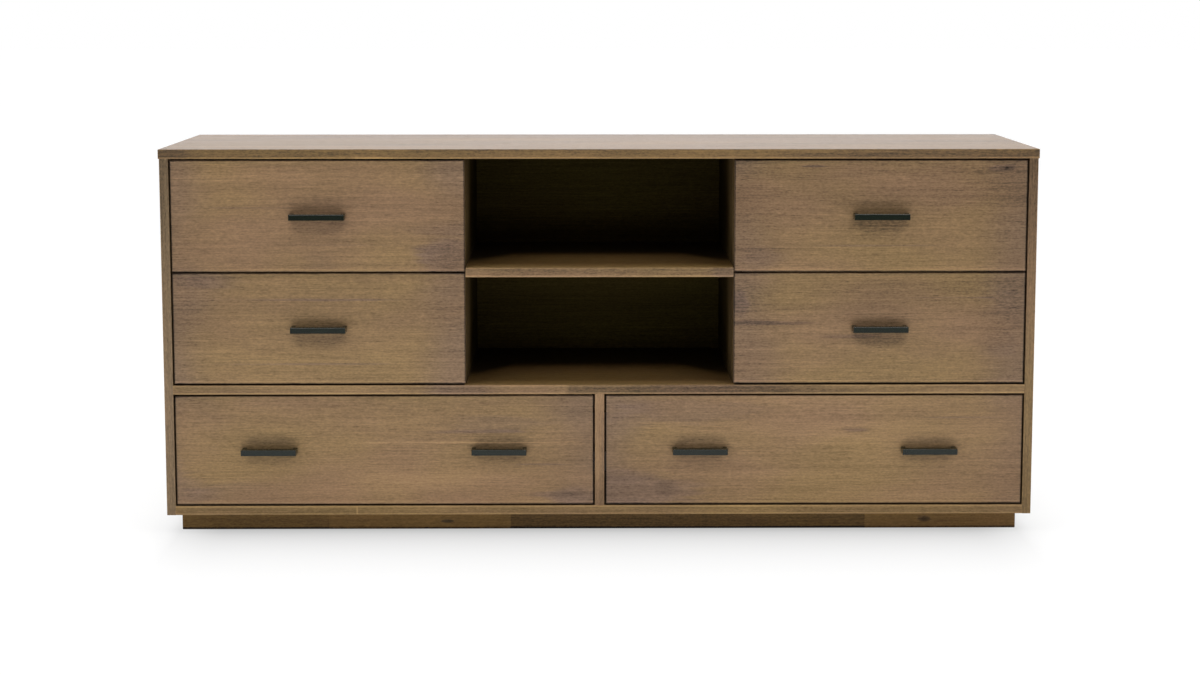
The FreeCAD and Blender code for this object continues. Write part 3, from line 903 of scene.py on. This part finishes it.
def shown_white(g, mirrored):
    """1 for what the camera sees itself, and mirrored for what it sees in or through other pieces."""
    path = g.node("LightPath").outputs
    indirect = g.math("MAXIMUM", path["Is Glossy Ray"], path["Is Transmission Ray"])
    return g.math("MAXIMUM", path["Is Camera Ray"], g.times(indirect, mirrored))


def floor_material():
    """Plain where the floor lights the chest, and lifted towards white where it is seen, less near the
    plinth as painted shadow.
    """
    material = bpy.data.materials.new("studio_floor")
    material.use_nodes = True
    g = Graph(material.node_tree)
    place = g.node("TexCoord").outputs["Object"]
    low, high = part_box("plinth_left")[0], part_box("plinth_right")[1]
    middle = (low + high) / 2
    half = (high - low) / 2
    beyond = g.vector("SUBTRACT", g.vector("ABSOLUTE", g.vector("SUBTRACT", place, middle)), half)
    outside = g.vector("MULTIPLY", g.vector("MAXIMUM", beyond, (0, 0, 0)), (1, 1, 0))
    away = g.vector("LENGTH", outside)
    spent = g.vector("DOT_PRODUCT", outside, (-SHADE_SIDEWAYS / SHADE_REACH, -1 / SHADE_REACH, 0))
    weaker = g.ramp(g.parts(beyond)[0], *SHADE_WEAKENS, 1.0, SHADE_LEAST)
    shade = g.times(g.math("EXPONENT", spent), weaker)
    lift = g.math("MULTIPLY_ADD", shade, -SHADE_DEPTH, g.ramp(away, *FLOOR_WHITENS, FLOOR_LIFT, 1.0))
    plain = g.node("BsdfDiffuse", {"Color": FLOOR_PLAIN}).outputs[0]
    shadowed = g.node("BsdfDiffuse", {"Color": FLOOR_SHADOWED}).outputs[0]
    white = g.node("Emission", {"Strength": lift}).outputs[0]
    seen = g.node("AddShader", {0: shadowed, 1: white}).outputs[0]
    shown = shown_white(g, g.ramp(away, *FLOOR_MIRRORED, 1.0, 0.0))
    g.node("OutputMaterial", {"Surface": g.node("MixShader", {0: shown, 1: plain, 2: seen}).outputs[0]})
    return material


def studio_floor():
    """Large pale floor that keeps the chest's shadow."""
    mesh = bpy.data.meshes.new("floor")
    corners = [(x * FLOOR_HALF, y * FLOOR_HALF, 0) for x, y in ((-1, -1), (1, -1), (1, 1), (-1, 1))]
    mesh.from_pydata(corners, [], [(0, 1, 2, 3)])
    floor = bpy.data.objects.new("floor", mesh)
    bpy.context.scene.collection.objects.link(floor)
    mesh.materials.append(floor_material())


def studio_world():
    """Dim surround, white to the camera, and white in reflections of what stands behind the chest."""
    world = bpy.data.worlds.new("studio")
    bpy.context.scene.world = world
    world.use_nodes = True
    g = Graph(world.node_tree)
    behind = g.ramp(g.parts(g.node("TexCoord").outputs["Generated"])[1], *WORLD_BEHIND)
    dim = g.node("Background", {"Color": (1, 1, 1, 1), "Strength": WORLD_LIGHT}).outputs[0]
    white = g.node("Background", {"Color": (1, 1, 1, 1), "Strength": 1.0}).outputs[0]
    surface = g.node("MixShader", {0: shown_white(g, behind), 1: dim, 2: white}).outputs[0]
    g.node("OutputWorld", {"Surface": surface})


# A softbox has its place, the point that it aims at, its width and height, its power in watts, and whether
# reflections show it
Softbox = namedtuple("Softbox", "name place aim width height power mirrored", defaults=(True,))
FRONTS = (0, -0.2, 0.45)  # about the middle of the drawer fronts
SOFTBOXES = [
    Softbox("overhead_softbox", (0, -0.40, 2.6), (0, -0.40, 0), 3.4, 0.6, 40),
    Softbox("rear_softbox", (0, 2.8, 1.3), (0, 0.2, 0.6), 3.6, 1.2, 21),
    Softbox("rear_floor_strip", (0, 1.2, 0.02), (0, 1.2, 1), 3.0, 0.5, 18),
    Softbox("floor_strip", (0, -1.15, 0.02), (0, -1.15, 1), 3.4, 0.5, 14, False),
    Softbox("near_floor_strip", (0, -0.70, 0.02), (0, -0.70, 1), 3.4, 0.4, 4.2, False),
    Softbox("low_front_strip", (0, -2.6, 0.25), (0, -0.2, 0.4), 3.4, 0.4, 9.5, False),
]
for side in (-1, 1):
    SOFTBOXES += [
        Softbox("high_front_softbox", (side * 1.48, -1.96, 2.38), FRONTS, 1.2, 1.2, 9.5),
        Softbox("high_side_softbox", (side * 1.88, -1.52, 2.38), FRONTS, 1.2, 1.2, 6.5),
        Softbox("low_side_softbox", (side * 2.69, -1.29, 1.23), FRONTS, 1.2, 1.2, 5),
        Softbox("end_softbox", (side * 2.8, 0.3, 0.9), (0, 0.1, 0.4), 1.2, 0.9, 22),
    ]


def studio_lamp(box):
    """A rectangular light for a softbox."""
    light = bpy.data.lights.new(box.name, "AREA")
    light.shape = "RECTANGLE"
    light.size = box.width
    light.size_y = box.height
    light.energy = box.power
    lamp = bpy.data.objects.new(box.name, light)
    lamp.location = box.place
    lamp.rotation_euler = (Vector(box.aim) - Vector(box.place)).to_track_quat("-Z", "Y").to_euler()
    lamp.visible_camera = False
    lamp.visible_glossy = box.mirrored
    bpy.context.scene.collection.objects.link(lamp)


def studio_camera():
    """The photograph's viewing place."""
    data = bpy.data.cameras.new("camera")
    data.sensor_width = CAMERA_SENSOR
    data.lens = CAMERA_LENS
    data.shift_y = CAMERA_SHIFT
    camera = bpy.data.objects.new("camera", data)
    camera.location = CAMERA_PLACE
    camera.rotation_euler = (math.pi / 2 - CAMERA_PITCH, 0, -CAMERA_TURN)
    bpy.context.scene.collection.objects.link(camera)
    bpy.context.scene.camera = camera


studio_floor()
studio_world()
for box in SOFTBOXES:
    studio_lamp(box)
studio_camera()
bpy.context.scene.view_settings.view_transform = "Standard"
